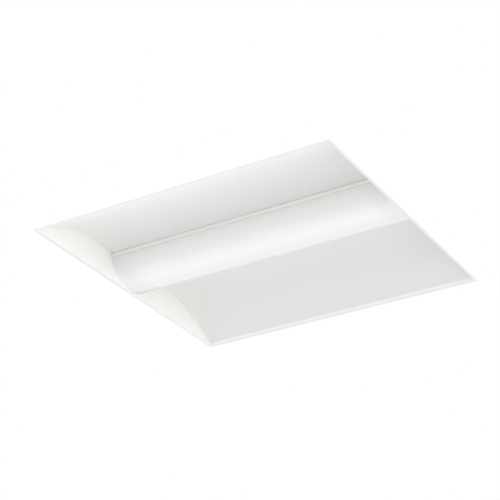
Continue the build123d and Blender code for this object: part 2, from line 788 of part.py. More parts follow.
# ---- Wiring: splices and supply leads in the access bay, output leads to the boards
splice_x = input_x - splice_distance
splice_z = terminal_z - splice_drop
lug_z = roof_under - lug_thickness
ground_lead_z = lug_z - supply_lead_radius

with BuildPart() as splice_connectors:
    with Locations(
        (splice_x, driver_offset + live_splice_offset, splice_z),
        (splice_x, driver_offset + neutral_splice_offset, splice_z),
    ):
        Box(splice_length, splice_width, splice_height, align=(Align.MAX, Align.CENTER, Align.CENTER))
    fillet(splice_connectors.edges().filter_by(Axis.Z), splice_corner)
pieces["splice_connectors"] = splice_connectors


def supply_route(terminal_offset, splice_offset):
    """Points of a supply lead, from a driver terminal to its splice."""
    first_bend, second_bend = supply_bends
    return [
        (input_x, driver_offset + terminal_offset, terminal_z),
        (input_x - first_bend, driver_offset + terminal_offset, terminal_z),
        (input_x - second_bend, driver_offset + splice_offset, splice_z),
        (splice_x, driver_offset + splice_offset, splice_z),
    ]


ground_route = [
    (input_x, driver_offset + terminal_pitch, terminal_z),
    (input_x - ground_straight, driver_offset + terminal_pitch, terminal_z),
    *[(input_x - out, driver_offset + across, terminal_z + up) for out, across, up in ground_bends],
    *[(ground_place[0] + x, ground_place[1] + y, ground_lead_z) for x, y in ground_tail],
]
pieces["live_lead"] = lead(supply_route(-terminal_pitch, live_splice_offset), supply_lead_radius)
pieces["neutral_lead"] = lead(supply_route(0, neutral_splice_offset), supply_lead_radius)
pieces["ground_lead"] = lead(ground_route, supply_lead_radius)

with BuildPart() as ground_lug:
    with BuildSketch(Plane.XY.offset(roof_under)):
        with Locations(ground_place):
            Circle(lug_radius)
            Circle(small_hole, mode=Mode.SUBTRACT)
    extrude(amount=-lug_thickness)
pieces["ground_lug"] = ground_lug
pieces["ground_screw"] = screws([ground_place], lug_z, lug_thickness + sheet, -1, ground_size)

lead_z = tray_height + sheet + output_lead_radius + lead_lift
connector_edge = connector_width / 2
far_connector = board_offset + connector_edge
near_connector = connector_edge - board_offset
far_route = [
    (output_x, driver_offset + output_offset, terminal_z),
    (output_x + far_straight, driver_offset + output_offset, terminal_z),
    (grommet_x + core_shift, driver_offset - far_run_in, grommet_z),
    (grommet_x + core_shift, tray_half_width - far_run_out, grommet_z),
    (grommet_x + far_loop[0], board_offset + far_loop[1], lead_z + far_loop[2]),
    (connector_place, far_connector + far_entry, lead_z),
    (connector_place, far_connector, lead_z),
]
near_route = [
    (output_x, driver_offset - output_offset, terminal_z),
    (output_x + near_straight, driver_offset - output_offset, terminal_z),
    (grommet_x - core_shift, driver_offset - near_run_in, grommet_z),
    (grommet_x - core_shift, tray_half_width - near_run_out, grommet_z),
    *[(grommet_x + x, y, lead_z + rise) for x, y, rise in near_loop],
    (connector_place + near_turn[0], near_turn[1], lead_z),
    (connector_place, near_connector + near_entry, lead_z),
    (connector_place, near_connector, lead_z),
]
pieces["output_lead_far"] = lead(far_route, output_lead_radius)
pieces["output_lead_near"] = lead(near_route, output_lead_radius)

with BuildPart() as lead_grommet:
    with BuildSketch(grommet_face.offset(-grommet_rim)):
        SlotOverall(grommet_length + 2 * grommet_rim, grommet_height + 2 * grommet_rim)
    extrude(amount=grommet_rim)
    with BuildSketch(grommet_face):
        SlotOverall(grommet_length - 2 * hole_clearance, grommet_height - 2 * hole_clearance)
    extrude(amount=2 * sheet)
    with BuildSketch(grommet_face.offset(-grommet_rim)):
        with Locations((-core_shift, 0), (core_shift, 0)):
            Circle(output_lead_radius + hole_clearance)
    extrude(amount=grommet_rim + 2 * sheet, mode=Mode.SUBTRACT)
pieces["lead_grommet"] = lead_grommet

# ---- Access cover: lies on the roof and turns on a wire hinge at its outer edge
hinge_z = body_height + hinge_axis_rise
cover_under = body_height + cover_gap
cover_front = access_middle_x + access_length / 2 + cover_overlap
cover_length = cover_front - cover_back
side_barrel_length = (hinge_length - middle_barrel_length) / 2 - barrel_gap
side_barrel_shift = (middle_barrel_length + side_barrel_length) / 2 + barrel_gap

with BuildPart() as access_cover:
    with BuildSketch(Plane.XY.offset(cover_under)):
        with Locations((cover_back, access_middle_y)):
            Rectangle(cover_length, access_width + 2 * cover_overlap, align=(Align.MIN, Align.CENTER))
        with Locations(*[(hinge_x, access_middle_y + side * side_barrel_shift) for side in both]):
            Rectangle(
                barrel_radius + 2 * cover_overlap,
                side_barrel_length,
                align=(Align.MIN, Align.CENTER),
            )
    extrude(amount=cover_thickness)
    with Locations(*[(hinge_x, access_middle_y + side * side_barrel_shift, hinge_z) for side in both]):
        Cylinder(barrel_radius, side_barrel_length, rotation=(90, 0, 0))
        Cylinder(hinge_wire_radius + pin_fit, side_barrel_length, rotation=(90, 0, 0), mode=Mode.SUBTRACT)
    # Finger tab on the free edge, and a tongue that drops just inside the opening
    with Locations((cover_front, access_middle_y, cover_under)):
        Box(
            cover_thickness,
            finger_tab_width,
            finger_tab_height,
            align=(Align.MAX, Align.CENTER, Align.MIN),
        )
    with Locations((cover_front - cover_overlap - tongue_gap, access_middle_y, cover_under)):
        Box(
            cover_thickness,
            tongue_width,
            tongue_depth,
            align=(Align.MAX, Align.CENTER, Align.MAX),
        )
pieces["access_cover"] = access_cover

with BuildPart() as cover_hinge_leaf:
    with BuildSketch(Plane.XY.offset(body_height)):
        with Locations((hinge_x, access_middle_y)):
            Rectangle(leaf_reach, hinge_length, align=(Align.MAX, Align.CENTER))
            Rectangle(
                2 * (barrel_radius + barrel_gap),
                hinge_length + 2 * barrel_gap,
                align=(Align.CENTER, Align.CENTER),
                mode=Mode.SUBTRACT,
            )
            Rectangle(leaf_reach, middle_barrel_length, align=(Align.MAX, Align.CENTER))
        with Locations(*leaf_rivet_places):
            Circle(small_hole, mode=Mode.SUBTRACT)
    extrude(amount=cover_thickness)
    with Locations((hinge_x, access_middle_y, hinge_z)):
        Cylinder(barrel_radius, middle_barrel_length, rotation=(90, 0, 0))
        Cylinder(hinge_wire_radius + pin_fit, middle_barrel_length, rotation=(90, 0, 0), mode=Mode.SUBTRACT)
pieces["cover_hinge_leaf"] = cover_hinge_leaf

with BuildPart() as cover_hinge_wire:
    with Locations((hinge_x, access_middle_y, hinge_z)):
        Cylinder(hinge_wire_radius, hinge_length + 2 * wire_overhang, rotation=(90, 0, 0))
pieces["cover_hinge_wire"] = cover_hinge_wire

pieces["hinge_leaf_rivets"] = rivets(
    leaf_rivet_places,
    body_height + cover_thickness,
    roof_under,
    small_screw_radius,
    small_head_radius,
    small_rivet_head_height,
)

# ---- Grid clips: arms on the shelves that swing out over the bars of the ceiling grid
clip_under = clip_shelf_height + clip_gap
clip_top = clip_under + clip_thickness

for index, (x, y) in enumerate(clip_places, start=1):
    towards_middle = -1 if x > 0 else 1
    with BuildPart() as clip:
        with BuildSketch(Plane.XY.offset(clip_under)):
            with Locations((x, y)):
                Circle(clip_width / 2)
                Rectangle(
                    clip_reach,
                    clip_width,
                    align=(Align.MIN if towards_middle > 0 else Align.MAX, Align.CENTER),
                )
                Circle(rivet_radius + pin_fit, mode=Mode.SUBTRACT)
        extrude(amount=clip_thickness)
        with Locations((x + towards_middle * clip_reach, y, clip_under)):
            Box(
                clip_thickness,
                clip_width,
                clip_tab_height,
                align=(Align.MAX if towards_middle > 0 else Align.MIN, Align.CENTER, Align.MIN),
            )
    pieces[f"grid_clip_{index}"] = clip

pieces["clip_rivets"] = rivets(
    clip_places,
    clip_top + clip_gap,
    clip_shelf_height - sheet,
    rivet_radius,
    rivet_head_radius,
    rivet_head_height,
)

for name, piece in pieces.items():
    piece.part.label = name
    export_step(piece.part, f"parts/{name}.step")
print(len(pieces), "pieces written")
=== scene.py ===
import json
import math

import bmesh
import bpy
from mathutils import Matrix, Vector


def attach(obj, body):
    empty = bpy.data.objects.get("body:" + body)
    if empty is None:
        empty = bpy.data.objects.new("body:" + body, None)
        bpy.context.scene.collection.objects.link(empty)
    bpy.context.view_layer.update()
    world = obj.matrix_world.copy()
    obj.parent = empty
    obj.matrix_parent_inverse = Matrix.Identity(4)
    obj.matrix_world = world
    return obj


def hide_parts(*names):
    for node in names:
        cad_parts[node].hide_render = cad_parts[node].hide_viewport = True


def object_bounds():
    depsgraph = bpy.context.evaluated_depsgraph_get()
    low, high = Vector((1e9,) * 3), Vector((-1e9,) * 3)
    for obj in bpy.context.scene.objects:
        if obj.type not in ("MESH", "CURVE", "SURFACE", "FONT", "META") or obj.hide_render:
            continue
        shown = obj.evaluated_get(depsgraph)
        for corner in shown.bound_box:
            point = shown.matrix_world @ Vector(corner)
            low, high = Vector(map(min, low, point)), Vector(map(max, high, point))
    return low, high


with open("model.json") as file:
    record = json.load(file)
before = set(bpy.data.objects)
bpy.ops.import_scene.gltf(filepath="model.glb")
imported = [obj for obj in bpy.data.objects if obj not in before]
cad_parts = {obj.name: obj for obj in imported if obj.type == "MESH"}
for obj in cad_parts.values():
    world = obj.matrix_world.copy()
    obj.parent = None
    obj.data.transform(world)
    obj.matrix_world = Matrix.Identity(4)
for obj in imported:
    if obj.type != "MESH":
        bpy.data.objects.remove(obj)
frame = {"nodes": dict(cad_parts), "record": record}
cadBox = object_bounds()
slotOf = {row["node"]: row["material_slot"] for row in frame["record"]["subparts"]}
bodyOf = {node: body for body, members in frame["record"]["behaviour"]["bodies"].items() for node in members}
millimetre = 0.001
print("frame loaded:", len(frame["nodes"]), "nodes")


def linear(hexColour):
    channels = [int(hexColour[i:i + 2], 16) / 255 for i in (1, 3, 5)]
    return [c / 12.92 if c <= 0.04045 else ((c + 0.055) / 1.055) ** 2.4 for c in channels] + [1.0]


# Adds one node, sets it up and links its inputs, where a list gives one input several links
def addNode(tree, kind, values=None, links=None, **settings):
    node = tree.nodes.new(kind)
    for name, value in settings.items():
        setattr(node, name, value)
    for socket, value in (values or {}).items():
        node.inputs[socket].default_value = value
    for socket, sources in (links or {}).items():
        for source in sources if isinstance(sources, list) else [sources]:
            tree.links.new(source, node.inputs[socket])
    return node


# Camera at the photograph's angle, from below the ceiling
camera = {
    "azimuth": 30.52,        # degrees round from the near side
    "elevation": -27.56,
    "roll": -0.291,
    "distance": 2.909,
    "target": (-0.00786, -0.03263, 0.0),
    "focalLength": 113.42,   # millimetres
    "sensorWidth": 36.0,
}


def placeCamera():
    a, e, r = (math.radians(camera[name]) for name in ("azimuth", "elevation", "roll"))
    back = Vector((math.sin(a) * math.cos(e), -math.cos(a) * math.cos(e), math.sin(e)))
    level = (-back).cross(Vector((0, 0, 1))).normalized()
    upright = level.cross(-back)
    right = level * math.cos(r) + upright * math.sin(r)
    top = upright * math.cos(r) - level * math.sin(r)
    lens = bpy.data.cameras.new("camera")
    lens.sensor_width = camera["sensorWidth"]
    lens.lens = camera["focalLength"]
    eye = bpy.data.objects.new("camera", lens)
    turned = Matrix((right, top, back)).transposed().to_4x4()
    eye.matrix_world = Matrix.Translation(Vector(camera["target"]) + back * camera["distance"]) @ turned
    bpy.context.scene.collection.objects.link(eye)
    bpy.context.scene.camera = eye


placeCamera()
bpy.context.scene.view_settings.view_transform = "Standard"
print("camera placed")

# Soft studio light. Below the ceiling the room's walls are bright and its floor is dim, as under a
# ring of soft boxes, and brighter towards three sides. Above it the light is even, with one lamp.
studio = {
    "below": {"walls": 1.32, "pole": 0.12},
    "above": {"walls": 0.58, "pole": 0.64},
    "sides": {"farSide": (0, 1, 1.00), "nearSide": (0, -1, 0.50), "rightSide": (1, 0, 0.30)},
    "roofLamp": {"at": (-1.4, -1.9, 2.6), "size": 1.8, "power": 16.0},
    "floorColour": "#F6F6F5",
    "floorRoughness": 0.9,
    "floorHalf": 6.0,
    "gap": 0.0002,           # round the face
    "ceilingDrop": 0.0003,   # the ceiling's underside, just under the rim's plane
}


def lightRoom():
    world = bpy.data.worlds.new("paleRoom")
    world.use_nodes = True
    tree = world.node_tree
    tree.nodes.clear()
    seen = addNode(tree, "ShaderNodeLightPath").outputs["Is Camera Ray"]
    heading = addNode(tree, "ShaderNodeTexCoord").outputs["Generated"]
    axes = addNode(tree, "ShaderNodeSeparateXYZ", None, {0: heading})
    steepness = addNode(tree, "ShaderNodeMath", None, {0: axes.outputs["Z"]}, operation="ABSOLUTE")
    above, below = [
        addNode(
            tree, "ShaderNodeMapRange", {"To Min": studio[half]["walls"], "To Max": studio[half]["pole"]},
            {"Value": steepness.outputs[0]},
        ).outputs["Result"]
        for half in ("above", "below")
    ]
    for x, y, strength in studio["sides"].values():
        towards = addNode(
            tree, "ShaderNodeVectorMath", {1: (x * strength, y * strength, 0)}, {0: heading},
            operation="DOT_PRODUCT",
        )
        ahead = addNode(
            tree, "ShaderNodeMath", {1: 0.0}, {0: towards.outputs["Value"]}, operation="MAXIMUM"
        )
        brighter = addNode(tree, "ShaderNodeMath", None, {0: below, 1: ahead.outputs[0]}, operation="ADD")
        below = brighter.outputs[0]
    upward = addNode(tree, "ShaderNodeMath", {1: 0.0}, {0: axes.outputs["Z"]}, operation="GREATER_THAN")
    light = addNode(
        tree, "ShaderNodeMix", None, {0: upward.outputs[0], 2: below, 3: above}, data_type="FLOAT"
    ).outputs[0]
    strength = addNode(tree, "ShaderNodeMix", {3: 1.0}, {0: seen, 2: light}, data_type="FLOAT")
    air = addNode(
        tree, "ShaderNodeBackground", {"Color": linear("#FFFFFF")}, {"Strength": strength.outputs[0]}
    )
    addNode(tree, "ShaderNodeOutputWorld", None, {"Surface": air.outputs[0]})
    bpy.context.scene.world = world
    lamp = studio["roofLamp"]
    light = bpy.data.lights.new("roofLamp", "AREA")
    light.shape = "SQUARE"
    light.size = lamp["size"]
    light.energy = lamp["power"]
    holder = bpy.data.objects.new("roofLamp", light)
    holder.location = lamp["at"]
    holder.rotation_euler = (-Vector(lamp["at"])).to_track_quat("-Z", "Y").to_euler()
    bpy.context.scene.collection.objects.link(holder)


# A flat square ring round the face, as a floor above and as a ceiling below
def ringPlane(name, z, material, downward):
    hole = cadBox[1].x + studio["gap"]
    edge = studio["floorHalf"]
    corners = [(-1, -1), (1, -1), (1, 1), (-1, 1)]
    points = [(x * size, y * size, z) for size in (hole, edge) for x, y in corners]
    faces = [(i, 4 + i, 4 + (i + 1) % 4, (i + 1) % 4) for i in range(4)]
    if downward:
        faces = [face[::-1] for face in faces]
    mesh = bpy.data.meshes.new(name)
    mesh.from_pydata(points, [], faces)
    mesh.materials.append(material)
    plane = bpy.data.objects.new(name, mesh)
    bpy.context.scene.collection.objects.link(plane)


def layStage():
    floorMaterial = bpy.data.materials.new("floorPaint")
    floorMaterial.use_nodes = True
    shader = floorMaterial.node_tree.nodes["Principled BSDF"]
    shader.inputs["Base Color"].default_value = linear(studio["floorColour"])
    shader.inputs["Roughness"].default_value = studio["floorRoughness"]
    ceilingMaterial = bpy.data.materials.new("ceilingPaint")
    ceilingMaterial.use_nodes = True
    tree = ceilingMaterial.node_tree
    tree.nodes.clear()
    white = addNode(tree, "ShaderNodeEmission", {"Color": linear("#FFFFFF"), "Strength": 1.0})
    paint = addNode(tree, "ShaderNodeBsdfDiffuse", {"Color": linear(studio["floorColour"])})
    seen = addNode(tree, "ShaderNodeLightPath").outputs["Is Camera Ray"]
    shown = addNode(
        tree, "ShaderNodeMixShader", None, {0: seen, 1: paint.outputs[0], 2: white.outputs[0]}
    )
    addNode(tree, "ShaderNodeOutputMaterial", None, {"Surface": shown.outputs[0]})
    ringPlane("floor", 0.0, floorMaterial, False)
    ringPlane("ceilingSheet", -studio["ceilingDrop"], ceilingMaterial, True)


lightRoom()
layStage()
print("studio set")

# Finishes. Grain and cloud are the widths of the surface's fine relief and of its slow colour
# change, and relief is the fine relief's depth, all in millimetres.
finishes = {
    # Powder coat baked on steel: orange peel of about 1 mm, drawn 3 mm wide so that it shows
    "white_enamel": {
        "name": "powderCoatedSteel", "light": "#F6F6F4", "dark": "#F4F4F2", "roughness": 0.48,
        "spread": 0.05, "grain": 3.0, "cloud": 90.0, "relief": 0.012,
    },
    # The same coat on a drawn aluminium extrusion: a little smoother
    "white_aluminium": {
        "name": "powderCoatedAluminium", "light": "#F6F6F4", "dark": "#F3F3F1", "roughness": 0.42,
        "spread": 0.04, "grain": 2.2, "cloud": 60.0, "relief": 0.008,
    },
    # Electroplated zinc with a clear passivate: soft bluish grey with cloudy patches
    "zinc_steel": {
        "name": "zincPlatedSteel", "light": "#C9CCCF", "dark": "#AEB2B7", "metallic": 1.0,
        "roughness": 0.34, "spread": 0.12, "grain": 0.7, "cloud": 5.0, "relief": 0.006,
    },
    # Hardened strip with a rolled surface: darker and sharper
    "spring_steel": {
        "name": "rolledSpringSteel", "light": "#A9ACB2", "dark": "#8B8F96", "metallic": 1.0,
        "roughness": 0.27, "spread": 0.08, "grain": 0.5, "cloud": 4.0, "relief": 0.004,
    },
    # White solder mask, screen coated over copper: smooth and slightly glossy
    "board_white": {
        "name": "whiteSolderMask", "light": "#F0F0EA", "dark": "#E8E8E0", "roughness": 0.36, "spread": 0.05,
        "grain": 0.9, "cloud": 9.0, "relief": 0.01,
    },
    # Silicone filled with phosphor: soft matt yellow, which glows white when it is lit
    "led_phosphor": {
        "name": "phosphorSilicone", "light": "#EFD56A", "dark": "#E5C650", "roughness": 0.55, "spread": 0.05,
        "grain": 0.4, "cloud": 1.5, "relief": 0.01, "glow": 1.0,
    },
    # Coil coated steel of the driver's case: satin white
    "driver_steel": {
        "name": "coilCoatedSteel", "light": "#F0F0EE", "dark": "#EAEAE8", "roughness": 0.4, "spread": 0.05,
        "grain": 1.4, "cloud": 30.0, "relief": 0.006,
    },
    # Green solder mask over a woven glass board
    "board_green": {
        "name": "greenSolderMask", "light": "#1F6A3E", "dark": "#185833", "roughness": 0.32, "spread": 0.08,
        "grain": 0.8, "cloud": 6.0, "relief": 0.012,
    },
    # Moulded epoxy: nearly black, finely eroded mould surface
    "dark_component": {
        "name": "mouldedEpoxy", "light": "#2B2B2D", "dark": "#232325", "roughness": 0.5, "spread": 0.08,
        "grain": 0.3, "cloud": 3.0, "relief": 0.012,
    },
    # Injection moulded nylon, natural white: waxy satin
    "nylon_white": {
        "name": "mouldedWhiteNylon", "light": "#EFEDE4", "dark": "#E6E4DA", "roughness": 0.45, "spread": 0.06,
        "grain": 0.6, "cloud": 5.0, "relief": 0.012,
    },
    # The same nylon, dyed grey
    "nylon_grey": {
        "name": "mouldedGreyNylon", "light": "#A5A8AA", "dark": "#989B9D", "roughness": 0.45, "spread": 0.06,
        "grain": 0.6, "cloud": 5.0, "relief": 0.012,
    },
    # Extruded PVC insulation: smooth, softly shining
    "lead_black": {
        "name": "blackPvc", "light": "#27272A", "dark": "#1E1E20", "roughness": 0.4, "spread": 0.06,
        "grain": 0.5, "cloud": 6.0, "relief": 0.008,
    },
    "lead_white": {
        "name": "whitePvc", "light": "#EDEDEA", "dark": "#E4E4E0", "roughness": 0.4, "spread": 0.06,
        "grain": 0.5, "cloud": 6.0, "relief": 0.008,
    },
    "lead_green": {
        "name": "greenPvc", "light": "#1F7D44", "dark": "#18693A", "roughness": 0.4, "spread": 0.06,
        "grain": 0.5, "cloud": 6.0, "relief": 0.008,
    },
    "lead_red": {
        "name": "redPvc", "light": "#B4302B", "dark": "#9E2824", "roughness": 0.4, "spread": 0.06,
        "grain": 0.5, "cloud": 6.0, "relief": 0.008,
    },
    # Moulded rubber: dull black, with a slight bloom
    "rubber_black": {
        "name": "mouldedRubber", "light": "#2A2A2A", "dark": "#202020", "roughness": 0.7, "spread": 0.08,
        "grain": 0.4, "cloud": 4.0, "relief": 0.015,
    },
}


def makeFinish(look):
    material = bpy.data.materials.new(look["name"])
    material.use_nodes = True
    tree = material.node_tree
    shader = tree.nodes["Principled BSDF"]
    shader.inputs["Metallic"].default_value = look.get("metallic", 0.0)
    shader.inputs["Emission Color"].default_value = linear("#FFFFFF")
    shader.inputs["Emission Strength"].default_value = look.get("glow", 0.0)
    place = addNode(tree, "ShaderNodeTexCoord").outputs["Object"]
    grain, cloud = [
        addNode(
            tree, "ShaderNodeTexNoise", {"Scale": 1 / (look[pattern] * millimetre), "Detail": detail},
            {"Vector": place},
        )
        for pattern, detail in (("grain", 1.0), ("cloud", 2.0))
    ]
    colour = addNode(
        tree, "ShaderNodeMix", {6: linear(look["light"]), 7: linear(look["dark"])}, {0: cloud.outputs["Fac"]},
        data_type="RGBA",
    )
    polish = addNode(
        tree, "ShaderNodeMapRange",
        {"To Min": look["roughness"] - look["spread"], "To Max": look["roughness"] + look["spread"]},
        {"Value": cloud.outputs["Fac"]},
    )
    peel = addNode(
        tree, "ShaderNodeBump", {"Strength": 1.0, "Distance": look["relief"] * millimetre},
        {"Height": grain.outputs["Fac"]},
    )
    tree.links.new(colour.outputs[2], shader.inputs["Base Color"])
    tree.links.new(polish.outputs["Result"], shader.inputs["Roughness"])
    tree.links.new(peel.outputs["Normal"], shader.inputs["Normal"])
    return material


# Extruded opal acrylic, lit from the boards behind it: white and satin. Its glow is partly painted light:
# a painted highlight runs along the near flank, under the near board only and none under the far board,
# and fades towards the rails, so that the flanks are painted darker. It also fades over a short way at
# each end, where the boards stop short of the end plates. Its stipple, rolled in with the extrusion, is
# drawn 2 mm wide so that it shows.
opal = {
    "colour": "#DCDCDB",
    "roughness": 0.32,
    "indexOfRefraction": 1.49,
    "glow": 0.31,            # strength along the painted highlight line
    "paintedHighlightLine": -0.027,    # the painted highlight's line, in metres from the centre line towards the near side
    # width over which the painted highlight fades to nothing, which paints the flanks darker
    "paintedFadeWidth": 0.055,
    "endShare": 0.82,        # of the glow that is left at the ends, set high so that it also paints light over the ends that the end plates shade
    "endStart": 0.238,       # metres from the middle to where it starts to fade
    "endStop": 0.272,
    "spread": 0.04,          # of the roughness, each way
    "stipple": 2.0,          # millimetres
}


def makeOpal():
    material = bpy.data.materials.new("extrudedOpalAcrylic")
    material.use_nodes = True
    tree = material.node_tree
    shader = tree.nodes["Principled BSDF"]
    shader.inputs["Base Color"].default_value = linear(opal["colour"])
    shader.inputs["IOR"].default_value = opal["indexOfRefraction"]
    shader.inputs["Emission Color"].default_value = linear("#FFFFFF")
    place = addNode(tree, "ShaderNodeTexCoord").outputs["Object"]
    axes = addNode(tree, "ShaderNodeSeparateXYZ", None, {0: place})
    # painted highlight: a band of glow along one line on the near flank, falling off to either side
    shifted = addNode(
        tree, "ShaderNodeMath", {1: -opal["paintedHighlightLine"]}, {0: axes.outputs["Y"]}, operation="ADD"
    )
    across = addNode(tree, "ShaderNodeMath", None, {0: shifted.outputs[0]}, operation="ABSOLUTE")
    along = addNode(tree, "ShaderNodeMath", None, {0: axes.outputs["X"]}, operation="ABSOLUTE")
    middle = addNode(
        tree, "ShaderNodeMapRange",
        {"From Min": 0.0, "From Max": opal["paintedFadeWidth"], "To Min": opal["glow"], "To Max": 0.0},
        {"Value": across.outputs[0]}, interpolation_type="SMOOTHSTEP",
    )
    ends = addNode(
        tree, "ShaderNodeMapRange",
        {
            "From Min": opal["endStart"], "From Max": opal["endStop"],
            "To Min": 1.0, "To Max": opal["endShare"],
        },
        {"Value": along.outputs[0]}, interpolation_type="SMOOTHSTEP",
    )
    glow = addNode(
        tree, "ShaderNodeMath", None, {0: middle.outputs["Result"], 1: ends.outputs["Result"]},
        operation="MULTIPLY",
    )
    satin = addNode(
        tree, "ShaderNodeTexNoise", {"Scale": 1 / (opal["stipple"] * millimetre), "Detail": 1.0},
        {"Vector": place},
    )
    polish = addNode(
        tree, "ShaderNodeMapRange",
        {"To Min": opal["roughness"] - opal["spread"], "To Max": opal["roughness"] + opal["spread"]},
        {"Value": satin.outputs["Fac"]},
    )
    tree.links.new(glow.outputs[0], shader.inputs["Emission Strength"])
    tree.links.new(polish.outputs["Result"], shader.inputs["Roughness"])
    return material


materials = {slot: makeFinish(look) for slot, look in finishes.items()}
materials["opal_acrylic"] = makeOpal()
print("finishes made:", len(materials))


# Gives a mesh its place in the scene, its body, its finish and the CAD nodes that it stands for
def settle(name, mesh, nodes):
    piece = bpy.data.objects.new(name, mesh)
    bpy.context.scene.collection.objects.link(piece)
    mesh.materials.clear()
    mesh.materials.append(materials[slotOf[nodes[0]]])
    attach(piece, bodyOf[nodes[0]])
    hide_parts(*nodes)
    return piece


# Evaluates an object's modifiers into a plain mesh and removes the object
def flattened(name, source):
    graph = bpy.context.evaluated_depsgraph_get()
    mesh = bpy.data.meshes.new_from_object(source.evaluated_get(graph), depsgraph=graph)
    mesh.name = name
    bpy.data.objects.remove(source)
    return mesh


# Pieces that are copies of CAD nodes with their folded and cut edges slightly rounded, as formed metal
# and mouldings are: the node, and the radius in millimetres
softEdges = {
    "backPan": ("back_pan", 0.18),
    "endPlateLeft": ("end_plate_left", 0.18),
    "endPlateRight": ("end_plate_right", 0.18),
    "reflectorNear": ("reflector_near", 0.22),
    "reflectorFar": ("reflector_far", 0.22),
    "ledTray": ("led_tray", 0.18),
    "opalLens": ("lens_diffuser", 0.30),
    "lensRailNear": ("lens_rail_near", 0.20),
    "lensRailFar": ("lens_rail_far", 0.20),
    "lensBracketLeft": ("lens_bracket_left", 0.15),
    "lensBracketRight": ("lens_bracket_right", 0.15),
    "accessCover": ("access_cover", 0.20),
    "coverHingeLeaf": ("cover_hinge_leaf", 0.15),
    "driverBase": ("driver_base", 0.20),
    "driverCase": ("driver_case", 0.20),
    "driverTerminals": ("driver_terminals", 0.25),
    "spliceConnectors": ("splice_connectors", 0.35),
    "boardConnectors": ("board_connectors", 0.25),
    "catchSprings": ("lens_catch_springs", 0.10),
    "gridClip1": ("grid_clip_1", 0.18),
    "gridClip2": ("grid_clip_2", 0.18),
    "gridClip3": ("grid_clip_3", 0.18),
    "gridClip4": ("grid_clip_4", 0.18),
}
# Grooves moulded into one face of the connector bodies, between their levers or their contacts: how
# many on each body, their width and depth in millimetres, the share of the length that they run, and
# the face, which is 1 for the upper one and 0 for the lower one
grooves = {
    "spliceConnectors": {"count": 2, "width": 1.0, "depth": 1.6, "reach": 0.66, "face": 1},
    "driverTerminals": {"count": 3, "width": 0.7, "depth": 1.2, "reach": 0.80, "face": 1},
    "boardConnectors": {"count": 1, "width": 0.7, "depth": 0.9, "reach": 0.80, "face": 0},
}
weldDistance = 0.002 * millimetre   # the CAD meshes are loose triangles
flatAngle = math.radians(0.4)       # faces closer than this are one flat face
cornerAngle = math.radians(32)      # edges sharper than this are rounded


# The box of each separate solid in a CAD node, as its lowest and highest corner
def solidBoxes(nodeName):
    shape = bmesh.new()
    shape.from_mesh(frame["nodes"][nodeName].data)
    bmesh.ops.remove_doubles(shape, verts=shape.verts, dist=weldDistance)
    waiting = set(shape.verts)
    boxes = []
    while waiting:
        reached = [waiting.pop()]
        for corner in reached:
            beside = [edge.other_vert(corner) for edge in corner.link_edges]
            fresh = [other for other in beside if other in waiting]
            waiting.difference_update(fresh)
            reached.extend(fresh)
        spans = list(zip(*[corner.co for corner in reached]))
        boxes.append([Vector([pick(span) for span in spans]) for pick in (min, max)])
    shape.free()
    return sorted(boxes, key=lambda box: box[0][:])


# Cutter for the grooves of a node's connectors, one box for each groove
def grooveCutter(name, nodeName):
    cut = grooves[name]
    shape = bmesh.new()
    for box in solidBoxes(nodeName):
        low, high = box
        size = high - low
        along, across = (0, 1) if size.x >= size.y else (1, 0)
        spans = Vector((0, 0, 2 * cut["depth"] * millimetre))
        spans[along] = size[along] * cut["reach"]
        spans[across] = cut["width"] * millimetre
        for i in range(cut["count"]):
            middle = (low + high) / 2
            middle[across] = low[across] + size[across] * (i + 1) / (cut["count"] + 1)
            middle.z = box[cut["face"]].z
            place = Matrix.Translation(middle) @ Matrix.Diagonal((*spans, 1.0))
            bmesh.ops.create_cube(shape, size=1.0, matrix=place)
    mesh = bpy.data.meshes.new(name + "Grooves")
    shape.to_mesh(mesh)
    shape.free()
    cutter = bpy.data.objects.new(name + "Grooves", mesh)
    bpy.context.scene.collection.objects.link(cutter)
    return cutter


# Copy of a CAD node, welded, with any grooves cut and its sharp edges rounded
def softened(name, nodeName, radius):
    source = frame["nodes"][nodeName].data
    mesh = bpy.data.meshes.new(name)
    mesh.from_pydata([v.co[:] for v in source.vertices], [], [p.vertices[:] for p in source.polygons])
    shape = bmesh.new()
    shape.from_mesh(mesh)
    bmesh.ops.remove_doubles(shape, verts=shape.verts, dist=weldDistance)
    bmesh.ops.dissolve_limit(shape, angle_limit=flatAngle, verts=shape.verts, edges=shape.edges)
    shape.to_mesh(mesh)
    shape.free()
    mesh.shade_smooth()
    holder = bpy.data.objects.new(name, mesh)
    bpy.context.scene.collection.objects.link(holder)
    cutter = grooveCutter(name, nodeName) if name in grooves else None
    if cutter:
        carving = holder.modifiers.new("carving", "BOOLEAN")
        carving.operation = "DIFFERENCE"
        carving.solver = "EXACT"
        carving.object = cutter
    bevel = holder.modifiers.new("rounding", "BEVEL")
    bevel.width = radius * millimetre
    bevel.segments = 2
    bevel.limit_method = "ANGLE"
    bevel.angle_limit = cornerAngle
    bevel.harden_normals = True
    mesh = flattened(name, holder)
    if cutter:
        bpy.data.objects.remove(cutter)
    return settle(name, mesh, [nodeName])


for name, (nodeName, radius) in softEdges.items():
    softened(name, nodeName, radius)
print("edges rounded on", len(softEdges), "pieces")


# Geometry tree with named inputs, and the sockets of those inputs
def startTree(name, sizes):
    tree = bpy.data.node_groups.new(name, "GeometryNodeTree")
    kinds = {"Places": "Geometry", **sizes, "Tilt": "Vector", "Seed": "Int", "Finish": "Material"}
    for label, kind in kinds.items():
        tree.interface.new_socket(name=label, in_out="INPUT", socket_type="NodeSocket" + kind)
    tree.interface.new_socket(name="Result", in_out="OUTPUT", socket_type="NodeSocketGeometry")
    return tree, addNode(tree, "NodeGroupInput").outputs


